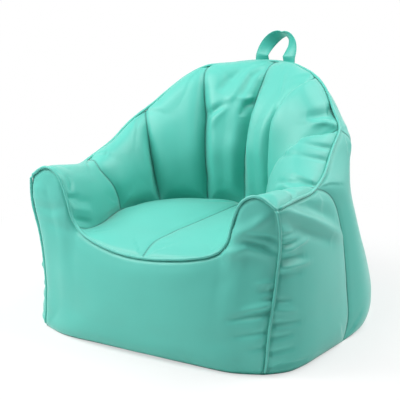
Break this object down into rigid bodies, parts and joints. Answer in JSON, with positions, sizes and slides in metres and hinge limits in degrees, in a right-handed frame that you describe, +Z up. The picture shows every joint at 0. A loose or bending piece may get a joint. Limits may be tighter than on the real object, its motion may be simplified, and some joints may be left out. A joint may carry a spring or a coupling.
{
  "type": "bean bag chair",
  "caption": "Armchair-shaped bean bag with a channelled back, low arms, a split seat, piped seams, a carrying loop on the back rim and a zipped base.",
  "frame": {"origin": "on the floor, under the middle of the bounding box of the whole chair at rest", "axes": "+X across the chair, towards the right arm as seen from the front; +Y towards the rear, so the chair faces -Y; +Z up"},
  "size_m": [0.9944, 0.9426, 0.8514],
  "materials": {
    "cover": "satin coated faux leather, mint",
    "piping": "satin coated faux leather over cord, mint",
    "strap": "satin coated faux leather, folded and topstitched, mint",
    "zip_tape": "woven tape",
    "zip_teeth": "moulded",
    "slider": "cast, satin",
    "liner": "plain weave, white",
    "beads": "expanded beads"
  },
  "bodies": {
    "chair": {"front_panel": "cover", "left_side_panel": "cover", "right_side_panel": "cover", "left_quarter_panel": "cover", "right_quarter_panel": "cover", "rear_panel": "cover", "left_seat_panel": "cover", "right_seat_panel": "cover", "left_middle_channel": "cover", "right_middle_channel": "cover", "left_outer_channel": "cover", "right_outer_channel": "cover", "left_wing_panel": "cover", "right_wing_panel": "cover", "left_arm_panel": "cover", "right_arm_panel": "cover", "front_piping": "piping", "rim_piping": "piping", "left_corner_piping": "piping", "right_corner_piping": "piping", "left_handle_tab": "strap", "right_handle_tab": "strap", "base_front_panel": "cover", "base_rear_panel": "cover", "zip_front_tape": "zip_tape", "zip_rear_tape": "zip_tape", "zip_front_teeth": "zip_teeth", "zip_rear_teeth": "zip_teeth", "zip_left_stop": "zip_teeth", "zip_right_stop": "zip_teeth", "inner_liner": "liner", "liner_closure": "liner", "bead_fill": "beads"},
    "handle": {"handle_strap": "strap"},
    "slider": {"zip_slider": "slider"}
  },
  "joints": [
    {"name": "handle_fold", "type": "hinge", "parent": "chair", "child": "handle", "pos_m": [0, 0.4129, 0.762], "axis": [1, 0, 0], "range_deg": [-40, 75]},
    {"name": "zip_slide", "type": "slide", "parent": "chair", "child": "slider", "axis": [-1, 0, 0], "range_m": [0, 0.545]}
  ]
}
